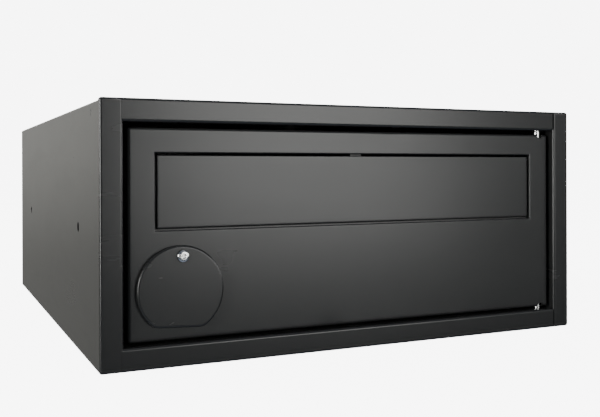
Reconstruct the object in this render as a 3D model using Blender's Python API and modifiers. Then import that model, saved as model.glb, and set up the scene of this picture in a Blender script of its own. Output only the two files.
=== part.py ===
"""Parcel drop box: a welded steel casing with a proud front frame, a side-hung door
with an inward-opening parcel flap, and a swinging cover over the cam lock.

Metres, +Z up. The front faces -Y and the origin is the middle of the base."""

from math import atan2, cos, degrees, pi, radians, sin, sqrt

import bmesh
import bpy
from mathutils import Matrix, Vector

# ---- driving dimensions -------------------------------------------------
WIDTH = 0.500
DEPTH = 0.600
HEIGHT = 0.230

SHEET = 0.0015              # sheet thickness of every folded part
BEND = 0.0025               # outside radius of a fold
GAP = 0.0003                # working gap between touching pieces

FRAME_FACE = 0.020          # face width of the front frame
FRAME_LIP = 0.0045          # how far the frame's outer edge runs back
FRAME_DEPTH = 0.030         # how far the frame's folds reach in
FRAME_PROUD = 0.00125       # frame stands proud of the casing sheets
FRAME_SEAM = 0.001          # open seam between a stile and a rail
JOGGLE_CLEARANCE = 0.0008   # frame's inner folds inside the casing sheets
CASING_SETBACK = 0.007      # front edge of the casing behind the frame's face

FLANGE = 0.015              # fold depth of the base, the back and the door

DOOR_RECESS = 0.005
DOOR_SIDE_GAP = 0.0044
DOOR_BOTTOM_GAP = 0.0034
DOOR_TOP_GAP = 0.0045

SLOT_WIDTH = 0.404
SLOT_BOTTOM = 0.117
SLOT_TOP = 0.184
SLOT_RIM = 0.004

FLAP_CLEARANCE = 0.002
FLAP_RECESS = 0.0017
FLAP_STEP = 0.0026          # step from the flap's face back to its flange
FLAP_FLANGE = 0.009

ROD_RADIUS = 0.002
ROD_BEHIND_FACE = 0.014     # flap's hinge rod behind the frame's face
ROD_HEIGHT = 0.178

HINGE_PIN_RADIUS = 0.0025
HINGE_X = 0.216
HINGE_BEHIND_FACE = 0.011

COVER_RADIUS = 0.0386
COVER_DROP = 0.0293         # cover's centre below its pivot
COVER_FLAT = 0.0322         # flat edge below the cover's centre
COVER_CORNER = 0.011         # radius where the rim runs into the flat edge
COVER_TILT = radians(2.5)   # how far off plumb the cover hangs
COVER_DEPTH = 0.0044
PIVOT_X = -0.179
PIVOT_Z = 0.0952

LOCK_X = -0.180
LOCK_Z = 0.060
LOCK_BARREL_RADIUS = 0.010
LOCK_PLUG_RADIUS = 0.006
CAM_REACH = 0.042

SIDE_HOLE_RADIUS = 0.0047   # clears an M8 screw
SIDE_HOLE_Z = 0.1155
SIDE_HOLES_FROM_FRONT = (0.110, 0.480)
BACK_HOLE_RADIUS = 0.0045
BACK_HOLE_X = 0.190
BACK_HOLES_Z = (0.050, 0.180)
BASE_HOLE_X = 0.190
BASE_HOLES_Y = (-0.210, 0.210)

ROUND = 32                  # sides of a round piece

# ---- worked out from them -----------------------------------------------
FRONT = -DEPTH / 2
BACK = DEPTH / 2
HALF = WIDTH / 2
CASING_HALF = HALF - FRAME_PROUD
CASING_TOP = HEIGHT - FRAME_PROUD
CASING_FRONT = FRONT + CASING_SETBACK
INSIDE_HALF = CASING_HALF - SHEET
INSIDE_TOP = CASING_TOP - SHEET
LINER_HALF = INSIDE_HALF - GAP
FRAME_BACK = FRONT + FRAME_DEPTH
OPENING_HALF = HALF - FRAME_FACE
DOOR_FACE = FRONT + DOOR_RECESS
DOOR_INNER = DOOR_FACE + SHEET
DOOR_BACK = DOOR_FACE + FLANGE
DOOR_HALF = OPENING_HALF - DOOR_SIDE_GAP
DOOR_BOTTOM = FRAME_FACE + DOOR_BOTTOM_GAP
DOOR_TOP = HEIGHT - FRAME_FACE - DOOR_TOP_GAP
SLOT_HALF = SLOT_WIDTH / 2
FLAP_HALF = SLOT_HALF - FLAP_CLEARANCE
FLAP_BOTTOM = SLOT_BOTTOM + FLAP_CLEARANCE
FLAP_TOP = SLOT_TOP - FLAP_CLEARANCE
FLAP_FACE = DOOR_FACE + FLAP_RECESS
FLAP_INNER = FLAP_FACE + SHEET
FLAP_FLANGE_FRONT = FLAP_FACE + FLAP_STEP
ROD_Y = FRONT + ROD_BEHIND_FACE
HINGE_Y = FRONT + HINGE_BEHIND_FACE
ON_DOOR = DOOR_INNER + GAP  # front of whatever is fixed behind the door's face
KEEPER_FRONT = DOOR_BACK + 0.0025
CAM_FRONT = KEEPER_FRONT + SHEET + 0.0005

PARTS = None
CUTTERS = None
MATERIALS = {}


# ---- scene and materials ------------------------------------------------
def start():
    global PARTS, CUTTERS
    for old in list(bpy.data.objects):
        bpy.data.objects.remove(old, do_unlink=True)
    PARTS = bpy.data.collections.new("parcel_drop_box")
    CUTTERS = bpy.data.collections.new("cutters")
    for collection in (PARTS, CUTTERS):
        bpy.context.scene.collection.children.link(collection)


def material(name, colour, roughness, metallic):
    made = bpy.data.materials.new(name)
    made.use_nodes = True
    shader = made.node_tree.nodes["Principled BSDF"]
    shader.inputs["Base Color"].default_value = (*colour, 1.0)
    shader.inputs["Roughness"].default_value = roughness
    shader.inputs["Metallic"].default_value = metallic
    MATERIALS[name] = made


def finish(obj, mat, pivot=None):
    """Give a part its material and hang it under its joint's empty."""
    obj.data.materials.clear()
    obj.data.materials.append(MATERIALS[mat])
    if pivot is not None:
        obj.parent = pivot
        obj.location = obj.location - pivot.location
    return obj


def pivot_empty(name, place, parent=None):
    empty = bpy.data.objects.new(name, None)
    PARTS.objects.link(empty)
    empty.empty_display_size = 0.02
    empty.location = place
    if parent is not None:
        empty.parent = parent
        empty.location = Vector(place) - parent.location
    return empty


# ---- shapes -------------------------------------------------------------
def mesh_object(name, bm, location=(0, 0, 0), cutter=False):
    mesh = bpy.data.meshes.new(name)
    bm.to_mesh(mesh)
    bm.free()
    obj = bpy.data.objects.new(name, mesh)
    obj.location = location
    (CUTTERS if cutter else PARTS).objects.link(obj)
    if cutter:
        obj.hide_render = True
        obj.display_type = "WIRE"
    return obj


def block_mesh(size):
    bm = bmesh.new()
    bmesh.ops.create_cube(bm, size=1.0)
    bmesh.ops.scale(bm, vec=size, verts=bm.verts)
    return bm


def block(name, low, high, cutter=False):
    size = [b - a for a, b in zip(low, high)]
    centre = [(a + b) / 2 for a, b in zip(low, high)]
    return mesh_object(name, block_mesh(size), centre, cutter)


def axis_matrix(axis):
    """Turn +Z onto the named axis."""
    return {
        "X": Matrix.Rotation(pi / 2, 4, "Y"),
        "Y": Matrix.Rotation(-pi / 2, 4, "X"),
        "Z": Matrix.Identity(4),
    }[axis]


def rod(name, centre, radius, length, axis, sides=ROUND, cutter=False):
    bm = bmesh.new()
    bmesh.ops.create_cone(
        bm, cap_ends=True, segments=sides, radius1=radius, radius2=radius, depth=length,
        matrix=axis_matrix(axis),
    )
    obj = mesh_object(name, bm, centre, cutter)
    shade(obj)
    return obj


def shade(obj):
    obj.data.shade_smooth()
    obj.data.set_sharp_from_angle(angle=radians(35))


def cut(obj, *cutters):
    for cutter in cutters:
        boolean = obj.modifiers.new("cut_" + cutter.name, "BOOLEAN")
        boolean.operation = "DIFFERENCE"
        boolean.solver = "EXACT"
        boolean.object = cutter
    return obj


def join(obj, other):
    """Weld another shape onto a part; the other shape is only a helper."""
    boolean = obj.modifiers.new("join_" + other.name, "BOOLEAN")
    boolean.operation = "UNION"
    boolean.solver = "EXACT"
    boolean.object = other
    return obj


def bore(obj, name, centre, radius, length, axis, sides=ROUND):
    return cut(obj, rod(name, centre, radius, length, axis, sides, cutter=True))


def soften(obj, width, segments=2):
    bevel = obj.modifiers.new("edges", "BEVEL")
    bevel.width = width
    bevel.segments = segments
    bevel.limit_method = "ANGLE"
    bevel.angle_limit = radians(40)
    return obj


def fold(obj, bend=BEND, weighted=False, segments=4):
    """Make folded sheet of an open outer surface: round the folds, then add the sheet inside."""
    if bend:
        bevel = obj.modifiers.new("folds", "BEVEL")
        bevel.width = bend
        bevel.segments = segments
        bevel.limit_method = "WEIGHT" if weighted else "ANGLE"
        bevel.angle_limit = radians(30)
    solid = obj.modifiers.new("sheet", "SOLIDIFY")
    solid.thickness = SHEET
    solid.offset = -1
    solid.solidify_mode = "NON_MANIFOLD"
    solid.nonmanifold_thickness_mode = "CONSTRAINTS"
    solid.nonmanifold_merge_threshold = 0.0000001
    shade(obj)
    return obj


def drop_faces(bm, *normals):
    """Open a box by removing the faces that look along the given directions."""
    gone = [f for f in bm.faces if any(f.normal.dot(Vector(n)) > 0.9 for n in normals)]
    bmesh.ops.delete(bm, geom=gone, context="FACES")


def face_out(bm, outward):
    """Make the normals agree, with the largest face across outward looking that way."""
    bmesh.ops.recalc_face_normals(bm, faces=bm.faces)
    outward = Vector(outward)
    across = [f for f in bm.faces if abs(f.normal.dot(outward)) > 0.9]
    if max(across, key=lambda f: f.calc_area()).normal.dot(outward) < 0:
        bmesh.ops.reverse_faces(bm, faces=bm.faces)


def pull(bm, edges, move):
    """Extrude edges and shift each new corner by move(point)."""
    made = bmesh.ops.extrude_edge_only(bm, edges=edges)["geom"]
    for corner in [g for g in made if isinstance(g, bmesh.types.BMVert)]:
        corner.co += Vector(move(corner.co))
    return [g for g in made if isinstance(g, bmesh.types.BMEdge) and g.is_boundary]


def rim_edges(bm, depth):
    """Boundary edges lying in the plane y = depth."""
    return [
        e for e in bm.edges
        if e.is_boundary and all(abs(v.co.y - depth) < 1e-6 for v in e.verts)
    ]


def weigh_folds(bm, front):
    """Mark the edges of the front face as the ones to round."""
    weight = bm.edges.layers.float.new("bevel_weight_edge")
    for edge in bm.edges:
        edge[weight] = float(all(abs(v.co.y - front) < 1e-6 for v in edge.verts))


def strip(name, outline, axis, start, end, outward, bend=0.0):
    """Folded strip: an outline of corners, drawn across the axis, run along it.
    Its outer surface looks along outward and the sheet's thickness lies behind it."""
    place = {
        "X": lambda a, b, t: (t, a, b),
        "Z": lambda a, b, t: (a, b, t),
    }[axis]
    bm = bmesh.new()
    corners = [bm.verts.new(place(a, b, start)) for a, b in outline]
    edges = [bm.edges.new(pair) for pair in zip(corners, corners[1:])]
    shift = Vector(place(0, 0, end - start))
    pull(bm, edges, lambda _: shift)
    face_out(bm, outward)
    return fold(mesh_object(name, bm), bend)


def turned(name, profile, location, tilt=0.0, sides=ROUND):
    """Turned piece: (radius, height) points from the top down, closed on the axis,
    which stands upright and is then tilted about X."""
    bm = bmesh.new()
    points = [bm.verts.new((r, 0, h)) for r, h in profile]
    for pair in zip(points, points[1:]):
        bm.edges.new(pair)
    obj = mesh_object(name, bm, location)
    obj.rotation_euler.x = tilt
    screw = obj.modifiers.new("turn", "SCREW")
    screw.axis = "Z"
    screw.steps = sides
    screw.render_steps = sides
    screw.use_merge_vertices = True
    screw.merge_threshold = 0.00005
    return obj


def ring(name, centre, inner, outer, length, axis, sides=ROUND):
    obj = rod(name, centre, outer, length, axis, sides)
    return bore(obj, name + "_bore", centre, inner, length * 3, axis, sides)


def hex_nut(name, centre, radius, length, stud_radius, stud_length):
    """Nut on a threaded stud whose end stands out of it; both lie along Y."""
    nut = soften(rod(name, centre, radius, length, "Y", 6), 0.0003, 1)
    helper = rod(name + "_stud", centre, stud_radius, length, "Y", 16, cutter=True)
    helper.location.y += stud_length
    return join(nut, helper)


# ---- casing -------------------------------------------------------------
def casing_wrap():
    """One sheet folded over: both sides and the top."""
    bm = block_mesh((2 * CASING_HALF, BACK - CASING_FRONT, CASING_TOP))
    drop_faces(bm, (0, -1, 0), (0, 1, 0), (0, 0, -1))
    face_out(bm, (0, 0, 1))
    wrap = mesh_object("casing_wrap", bm, (0, (CASING_FRONT + BACK) / 2, CASING_TOP / 2))
    fold(wrap)
    for number, distance in enumerate(SIDE_HOLES_FROM_FRONT):
        place = (0, FRONT + distance, SIDE_HOLE_Z)
        bore(wrap, f"side_hole_{number}", place, SIDE_HOLE_RADIUS, 2 * WIDTH, "X", 24)
    return finish(wrap, "black_powder_coat")


def base_tray():
    """Floor sheet with a fold up each side, running under the frame in front."""
    front = FRAME_BACK + 0.0005
    back = BACK - FLANGE - 0.0005
    middle = (front + back) / 2
    bm = block_mesh((2 * LINER_HALF, back - front, FLANGE))
    drop_faces(bm, (0, -1, 0), (0, 1, 0), (0, 0, 1))
    half = (back - front) / 2
    floor = {
        end: [
            e for e in bm.edges
            if all(abs(v.co.y - end) < 1e-6 and v.co.z < 0 for v in e.verts)
        ]
        for end in (-half, half)
    }
    pull(bm, floor[-half], lambda _: (0, CASING_FRONT - front, 0))
    pull(bm, floor[half], lambda _: (0, BACK - back, 0))
    face_out(bm, (0, 0, -1))
    tray = mesh_object("base_tray", bm, (0, middle, FLANGE / 2))
    fold(tray, bend=0)
    for row, y in enumerate(BASE_HOLES_Y):
        for column, x in enumerate((-BASE_HOLE_X, BASE_HOLE_X)):
            bore(tray, f"base_hole_{row}_{column}", (x, y, 0), BACK_HOLE_RADIUS, 0.02, "Z", 16)
    return finish(tray, "black_powder_coat")


def back_panel():
    """Rear pan, folded forward all round and standing on the floor sheet."""
    low = SHEET + GAP
    high = INSIDE_TOP - GAP
    bm = block_mesh((2 * LINER_HALF, FLANGE, high - low))
    drop_faces(bm, (0, -1, 0))
    face_out(bm, (0, 1, 0))
    pan = mesh_object("back_panel", bm, (0, BACK - FLANGE / 2, (low + high) / 2))
    fold(pan)
    for row, z in enumerate(BACK_HOLES_Z):
        for column, x in enumerate((-BACK_HOLE_X, BACK_HOLE_X)):
            bore(pan, f"back_hole_{row}_{column}", (x, BACK, z), BACK_HOLE_RADIUS, 0.02, "Y", 16)
    return finish(pan, "black_powder_coat")


def frame_stile(name, side):
    """Upright of the front frame; side is -1 for the left one."""
    centre = (side * (HALF - FRAME_FACE / 2), FRONT + FRAME_LIP / 2, HEIGHT / 2)
    bm = block_mesh((FRAME_FACE, FRAME_LIP, HEIGHT))
    drop_faces(bm, (0, 1, 0))
    lip = FRAME_LIP / 2
    weigh_folds(bm, -lip)
    inset = HALF - INSIDE_HALF + JOGGLE_CLEARANCE
    top = HEIGHT - INSIDE_TOP + JOGGLE_CLEARANCE
    bottom = SHEET + JOGGLE_CLEARANCE

    def joggle(point):
        outer = point.x * side > 0
        return (-side * inset if outer else 0, 0, -top if point.z > 0 else bottom)

    step = pull(bm, rim_edges(bm, lip), joggle)
    pull(bm, step, lambda _: (0, FRAME_DEPTH - FRAME_LIP, 0))
    bmesh.ops.dissolve_degenerate(bm, dist=1e-6, edges=bm.edges)
    face_out(bm, (0, -1, 0))
    stile = mesh_object(name, bm, centre)
    fold(stile, weighted=True)
    return finish(stile, "black_powder_coat")


def frame_rail(name, upper):
    """Cross piece of the front frame, let in between the stiles."""
    length = 2 * (OPENING_HALF - FRAME_SEAM)
    z = HEIGHT - FRAME_FACE / 2 if upper else FRAME_FACE / 2
    bm = block_mesh((length, FRAME_LIP, FRAME_FACE))
    drop_faces(bm, (0, 1, 0), (1, 0, 0), (-1, 0, 0))
    lip = FRAME_LIP / 2
    weigh_folds(bm, -lip)
    top = HEIGHT - INSIDE_TOP + JOGGLE_CLEARANCE
    bottom = SHEET + JOGGLE_CLEARANCE

    def joggle(point):
        if upper:
            return (0, 0, -top if point.z > 0 else 0)
        return (0, 0, 0 if point.z > 0 else bottom)

    step = pull(bm, rim_edges(bm, lip), joggle)
    pull(bm, step, lambda _: (0, FRAME_DEPTH - FRAME_LIP, 0))
    bmesh.ops.dissolve_degenerate(bm, dist=1e-6, edges=bm.edges)
    face_out(bm, (0, -1, 0))
    rail = mesh_object(name, bm, (0, FRONT + FRAME_LIP / 2, z))
    fold(rail, weighted=True)
    shell_edge = z - FRAME_FACE / 2 if upper else z + FRAME_FACE / 2
    place = (HINGE_X, HINGE_Y, shell_edge)
    bore(rail, name + "_pin_hole", place, HINGE_PIN_RADIUS + GAP, 0.010, "Z")
    return finish(rail, "black_powder_coat")


def keeper_angle():
    """Angle on the left stile: the door rests on it and the cam hooks behind it."""
    outside = -OPENING_HALF + GAP
    outline = [(outside, KEEPER_FRONT + 0.0155), (outside, KEEPER_FRONT), (-0.212, KEEPER_FRONT)]
    angle = strip("keeper_angle", outline, "Z", 0.032, 0.198, (0, -1, 0), bend=0.002)
    return finish(angle, "black_powder_coat")


def door_buffers():
    """Rubber pads on the keeper angle for the door to close on."""
    for name, z in (("door_buffer_upper", 0.170), ("door_buffer_lower", 0.090)):
        low = (-0.226, DOOR_BACK + GAP, z - 0.010)
        high = (-0.214, KEEPER_FRONT - GAP, z + 0.010)
        finish(soften(block(name, low, high), 0.0004), "black_rubber")


def pin_plate(name, low):
    """Plate inside a rail that holds a hinge pin."""
    plate = block(name, (0.204, FRONT + 0.002, low), (0.227, FRONT + 0.020, low + 0.003))
    place = (HINGE_X, HINGE_Y, low)
    bore(plate, name + "_bore", place, HINGE_PIN_RADIUS + GAP, 0.010, "Z")
    return finish(plate, "zinc_steel")


def upper_hinge_pin():
    base = HEIGHT - FRAME_FACE
    head = base + SHEET + GAP + 0.003 + GAP
    profile = [
        (0, head + 0.0022), (0.0035, head + 0.0022), (0.004, head + 0.0017), (0.004, head),
        (HINGE_PIN_RADIUS, head), (HINGE_PIN_RADIUS, 0.1945), (0.002, 0.194), (0, 0.194),
    ]
    return finish(turned("upper_hinge_pin", profile, (HINGE_X, HINGE_Y, 0)), "bright_steel")


def lower_hinge_pin():
    """Pin with a shoulder that carries the door's weight."""
    head = FRAME_FACE - SHEET - GAP - 0.003 - GAP
    shoulder = DOOR_BOTTOM - 0.0014
    profile = [
        (0, 0.034), (0.002, 0.034), (HINGE_PIN_RADIUS, 0.0335), (HINGE_PIN_RADIUS, shoulder),
        (0.0034, shoulder), (0.0034, FRAME_FACE + GAP), (HINGE_PIN_RADIUS, FRAME_FACE + GAP),
        (HINGE_PIN_RADIUS, head), (0.004, head), (0.004, head - 0.0022), (0, head - 0.0022),
    ]
    return finish(turned("lower_hinge_pin", profile, (HINGE_X, HINGE_Y, 0)), "bright_steel")


# ---- door ---------------------------------------------------------------
def door_panel(pivot):
    """Door pan with the parcel slot's rim folded inward."""
    centre = Vector((0, (DOOR_FACE + DOOR_BACK) / 2, (DOOR_BOTTOM + DOOR_TOP) / 2))
    front = -FLANGE / 2
    bm = block_mesh((2 * DOOR_HALF, FLANGE, DOOR_TOP - DOOR_BOTTOM))
    drop_faces(bm, (0, 1, 0), (0, -1, 0))
    outer = rim_edges(bm, front)
    low, high = SLOT_BOTTOM - centre.z, SLOT_TOP - centre.z
    corners = [(-SLOT_HALF, low), (SLOT_HALF, low), (SLOT_HALF, high), (-SLOT_HALF, high)]
    loop = [bm.verts.new((x, front, z)) for x, z in corners]
    slot = [bm.edges.new((a, b)) for a, b in zip(loop, loop[1:] + loop[:1])]
    around = {v for e in outer for v in e.verts}
    frame = [min(around, key=lambda v: (v.co - Vector((9 * x, front, 9 * z))).length)
             for x, z in ((-1, -1), (1, -1), (1, 1), (-1, 1))]
    for n in range(4):
        m = (n + 1) % 4
        bm.faces.new((frame[n], frame[m], loop[m], loop[n]))
    pull(bm, slot, lambda _: (0, SLOT_RIM, 0))
    face_out(bm, (0, -1, 0))
    door = mesh_object("door_panel", bm, centre)
    fold(door)
    for name, z in (("upper_bush_hole", DOOR_TOP), ("lower_bush_hole", DOOR_BOTTOM)):
        bore(door, name, (HINGE_X, HINGE_Y, z), 0.0038, 0.010, "Z")
    bore(door, "lock_hole", (LOCK_X, DOOR_FACE, LOCK_Z), LOCK_BARREL_RADIUS + GAP, 0.010, "Y")
    bore(door, "pivot_hole", (PIVOT_X, DOOR_FACE, PIVOT_Z), 0.0033, 0.010, "Y")
    return finish(door, "black_powder_coat", pivot)


def hinge_stiffener(pivot):
    """Channel welded behind the door's face near the hinges."""
    deep = ON_DOOR + 0.010
    outline = [(0.190, ON_DOOR), (0.190, deep), (0.208, deep), (0.208, ON_DOOR)]
    channel = strip("hinge_stiffener", outline, "Z", 0.029, 0.104, (0, 1, 0))
    return finish(channel, "black_powder_coat", pivot)


def hinge_bush(name, profile, pivot):
    bush = turned(name, profile, (HINGE_X, HINGE_Y, 0))
    bore(bush, name + "_bore", (HINGE_X, HINGE_Y, profile[0][1]), 0.00275, 0.05, "Z")
    return finish(bush, "bright_steel", pivot)


def hinge_bushes(pivot):
    sleeve, collar = 0.0035, 0.0041
    over_top = DOOR_TOP + 0.0037
    under_top = DOOR_TOP - SHEET - 0.0012     # below the inside of the fold
    hinge_bush("upper_hinge_bush", [
        (0, over_top), (sleeve, over_top), (sleeve, under_top),
        (collar, under_top), (collar, under_top - 0.0013), (0, under_top - 0.0013),
    ], pivot)
    under_bottom = DOOR_BOTTOM - GAP
    hinge_bush("lower_hinge_bush", [
        (0, DOOR_BOTTOM + 0.003), (sleeve, DOOR_BOTTOM + 0.003), (sleeve, under_bottom),
        (collar, under_bottom), (collar, under_bottom - 0.0008), (0, under_bottom - 0.0008),
    ], pivot)


def rod_bracket(name, side, pivot):
    """End bracket that carries the flap's hinge rod."""
    ear, foot = side * 0.211, side * 0.220
    outline = [(foot, ON_DOOR), (ear, ON_DOOR), (ear, ROD_Y + 0.005)]
    bracket = strip(name, outline, "Z", 0.172, 0.190, (0, -1, 0))
    place = (side * 0.2118, ROD_Y, ROD_HEIGHT)
    bore(bracket, name + "_bore", place, ROD_RADIUS + GAP, 0.006, "X", 24)
    return finish(bracket, "black_powder_coat", pivot)


def rod_bracket_centre(pivot):
    """Stepped bracket that holds the middle of the flap's hinge rod."""
    leg = ROD_Y + 0.003
    outline = [(ON_DOOR, 0.2005), (ON_DOOR, 0.1875), (leg, 0.1875), (leg, 0.1735)]
    bracket = strip("rod_bracket_centre", outline, "X", -0.007, 0.005, (0, -1, 0))
    place = (-0.001, ROD_Y, ROD_HEIGHT)
    join(bracket, rod("centre_eye", place, 0.0038, 0.012, "X", 24, cutter=True))
    bore(bracket, "centre_bore", place, ROD_RADIUS + GAP, 0.03, "X", 24)
    return finish(bracket, "black_powder_coat", pivot)


def flap_rod(pivot):
    bar = rod("flap_rod", (0, ROD_Y, ROD_HEIGHT), ROD_RADIUS, 0.429, "X", 24)
    return finish(bar, "zinc_steel", pivot)


def rod_clips(pivot):
    """Push-on rings that keep the rod in its brackets."""
    for name, x in (("rod_clip_left", -0.2136), ("rod_clip_right", 0.2136)):
        clip = ring(name, (x, ROD_Y, ROD_HEIGHT), ROD_RADIUS + GAP, 0.0045, 0.0011, "X", 24)
        finish(clip, "zinc_steel", pivot)


def door_fasteners(pivot):
    """Nuts on the studs welded behind the door's face."""
    nut = 0.003
    on_sheet = ON_DOOR + SHEET + GAP + nut / 2
    centre = hex_nut("bracket_nut", (-0.001, on_sheet, 0.195), 0.004, nut, 0.002, 0.0015)
    finish(centre, "zinc_steel", pivot)
    for name, x in (("lock_bracket_nut_left", -0.2035), ("lock_bracket_nut_right", -0.1565)):
        finish(hex_nut(name, (x, on_sheet, LOCK_Z), 0.004, nut, 0.002, 0.0015), "zinc_steel", pivot)


def cover_screw(pivot):
    """Button-head screw that the lock cover swings on."""
    under, top, radius = FRONT - GAP, FRONT - 0.0033, 0.00545
    end = ON_DOOR + 0.0068
    dome = [
        (radius * sin(a), top + (under - 0.0006 - top) * (1 - cos(a)))
        for a in (radians(d) for d in range(0, 91, 15))
    ]
    profile = [(0, -end), (0.0026, -end), (0.003, -end + 0.0004), (0.003, -under)]
    profile += [(radius, -under)]
    profile += [(r, -y) for r, y in reversed(dome)]
    profile.reverse()
    screw = turned("cover_screw", profile, (PIVOT_X, 0, PIVOT_Z), pi / 2)
    socket = rod("cover_screw_socket", (PIVOT_X, top, PIVOT_Z), 0.0023, 0.0036, "Y", 6, cutter=True)
    cut(screw, socket)
    return finish(screw, "bright_steel", pivot)


def cover_hardware(pivot):
    """Spacer in front of the door's sheet and lock nut behind it, on the pivot screw."""
    front, back = FRONT + SHEET + GAP, DOOR_FACE - GAP
    place = (PIVOT_X, (front + back) / 2, PIVOT_Z)
    finish(ring("cover_spacer", place, 0.0033, 0.006, back - front, "Y"), "black_nylon", pivot)
    place = (PIVOT_X, ON_DOOR + 0.0025, PIVOT_Z)
    nut = soften(rod("cover_nut", place, 0.0058, 0.005, "Y", 6), 0.0003, 1)
    bore(nut, "cover_nut_bore", place, 0.0033, 0.02, "Y", 24)
    return finish(nut, "zinc_steel", pivot)


def lock_body(pivot):
    """Flush lock barrel, held behind the door by its shoulder."""
    front, back = DOOR_FACE + 0.0001, CAM_FRONT - 0.0008
    shoulder = ON_DOOR + 0.003
    profile = [
        (0, -front), (LOCK_BARREL_RADIUS - 0.0004, -front), (LOCK_BARREL_RADIUS, -front - 0.0004),
        (LOCK_BARREL_RADIUS, -ON_DOOR), (0.013, -ON_DOOR), (0.013, -shoulder),
        (LOCK_BARREL_RADIUS, -shoulder), (LOCK_BARREL_RADIUS, -back), (0, -back),
    ]
    body = turned("lock_body", profile, (LOCK_X, 0, LOCK_Z), pi / 2)
    bore(body, "lock_bore", (LOCK_X, (front + back) / 2, LOCK_Z), LOCK_PLUG_RADIUS + GAP, 0.05, "Y")
    return finish(body, "nickel", pivot)


def lock_bracket(pivot):
    """Top-hat strap that clamps the lock body to the door."""
    deep = ON_DOOR + 0.003 + GAP
    outline = [
        (-0.209, ON_DOOR), (-0.197, ON_DOOR), (-0.197, deep),
        (-0.163, deep), (-0.163, ON_DOOR), (-0.151, ON_DOOR),
    ]
    strap = strip("lock_bracket", outline, "Z", 0.047, 0.073, (0, -1, 0))
    bore(strap, "strap_bore", (LOCK_X, deep, LOCK_Z), LOCK_BARREL_RADIUS + GAP, 0.02, "Y")
    return finish(strap, "zinc_steel", pivot)


# ---- lock cover and lock cylinder ---------------------------------------
def lock_cover(pivot):
    """Dished disc with one flat edge, drawn about its pivot."""
    centre_x = sqrt((COVER_RADIUS - COVER_CORNER) ** 2 - (COVER_FLAT - COVER_CORNER) ** 2)
    centre_z = COVER_CORNER - COVER_FLAT
    turn = degrees(atan2(centre_x, -centre_z))
    outline = [
        *arc((0, 0), COVER_RADIUS, turn - 90, 270 - turn, 56),
        *list(arc((-centre_x, centre_z), COVER_CORNER, 270 - turn, 270, 4))[1:],
        *list(arc((centre_x, centre_z), COVER_CORNER, -90, turn - 90, 4))[:-1],
    ]
    bm = bmesh.new()
    bm.faces.new([bm.verts.new((x, 0, z - COVER_DROP)) for x, z in outline])
    weight = bm.edges.layers.float.new("bevel_weight_edge")
    edges = bm.edges[:]
    pull(bm, edges, lambda _: (0, COVER_DEPTH, 0))
    for edge in edges:
        edge[weight] = 1.0
    face_out(bm, (0, -1, 0))
    cover = mesh_object("lock_cover", bm, (PIVOT_X, FRONT, PIVOT_Z))
    cover.rotation_euler.y = COVER_TILT
    fold(cover, bend=0.0022, weighted=True, segments=2)
    bore(cover, "cover_hole", (PIVOT_X, FRONT, PIVOT_Z), 0.0034, 0.020, "Y")
    return finish(cover, "black_powder_coat", pivot)


def lock_plug(pivot):
    front, back = DOOR_FACE + 0.0001, CAM_FRONT - GAP
    place = Vector((LOCK_X, (front + back) / 2, LOCK_Z))
    plug = rod("lock_plug", place, LOCK_PLUG_RADIUS, back - front, "Y")
    low = (LOCK_X - 0.0009, front - 0.001, LOCK_Z - 0.004)
    high = (LOCK_X + 0.0009, front + 0.009, LOCK_Z + 0.004)
    cut(plug, block("keyway", low, high, cutter=True))
    return finish(plug, "nickel", pivot)


def arc(centre, radius, start, end, steps):
    """Points along an arc, angles in degrees."""
    for step in range(steps + 1):
        angle = radians(start + (end - start) * step / steps)
        yield centre[0] + radius * cos(angle), centre[1] + radius * sin(angle)


def plate(name, outlines, thickness, location):
    """Flat plate across Y from closed outlines in x and z; inner outlines are holes."""
    curve = bpy.data.curves.new(name, "CURVE")
    curve.dimensions = "2D"
    curve.fill_mode = "BOTH"
    curve.extrude = thickness / 2
    for outline in outlines:
        points = list(outline)
        spline = curve.splines.new("POLY")
        spline.points.add(len(points) - 1)
        spline.use_cyclic_u = True
        for point, (x, z) in zip(spline.points, points):
            point.co = (x, z, 0, 1)
    obj = bpy.data.objects.new(name, curve)
    obj.location = location
    obj.rotation_euler.x = pi / 2
    PARTS.objects.link(obj)
    return obj


def lock_cam(pivot):
    """Cam plate, pointing up when the door is unlocked."""
    half, thick = 0.008, 0.0025
    tip = CAM_REACH - half
    outer = [*arc((0, 0), half, 180, 360, 16), *arc((0, tip), half, 0, 180, 16)]
    hole = list(arc((0, 0), 0.0031, 0, 345, 23))
    cam = plate("lock_cam", (outer, hole), thick, (LOCK_X, CAM_FRONT + thick / 2, LOCK_Z))
    return finish(cam, "zinc_steel", pivot)


def cam_screw(pivot):
    """Screw that holds the cam on the plug."""
    seat = CAM_FRONT + 0.0025 + GAP
    start_y = CAM_FRONT
    profile = [
        (0, start_y), (0.0028, start_y), (0.0028, seat), (0.005, seat),
        (0.005, seat + 0.0018), (0.0036, seat + 0.0028), (0, seat + 0.0028),
    ]
    profile.reverse()
    screw = turned("cam_screw", profile, (LOCK_X, 0, LOCK_Z), -pi / 2)
    return finish(screw, "zinc_steel", pivot)


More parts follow.
